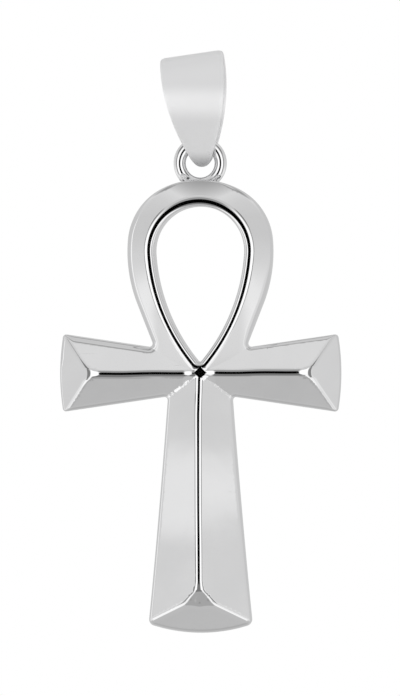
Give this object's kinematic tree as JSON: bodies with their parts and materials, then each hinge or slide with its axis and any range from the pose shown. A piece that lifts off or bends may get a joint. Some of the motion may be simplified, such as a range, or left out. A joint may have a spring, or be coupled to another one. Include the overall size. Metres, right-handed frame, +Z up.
{
  "type": "ankh pendant on a bail",
  "caption": "Polished silver ankh pendant: a bevelled looped cross with ridged, flaring arms, its soldered ring swinging on a tapered folded bail.",
  "frame": {"origin": "where a chain seats, on the inside of the bail's fold at its top", "axes": "+Z up, -Y towards the viewer of the bevelled front, +X to the viewer's right along the chain; the flat back faces +Y"},
  "size_m": [0.0185, 0.0034, 0.0382],
  "materials": {
    "silver": "mirror-polished sterling silver with fine polishing marks"
  },
  "bodies": {
    "bail": {"bail": "silver"},
    "ankh": {"ankh": "silver"}
  },
  "joints": [
    {"name": "ring_swing", "type": "hinge", "parent": "bail", "child": "ankh", "pos_m": [0.00053, 0, -0.00536], "axis": [1, 0, 0], "range_deg": [-28, 28]}
  ]
}
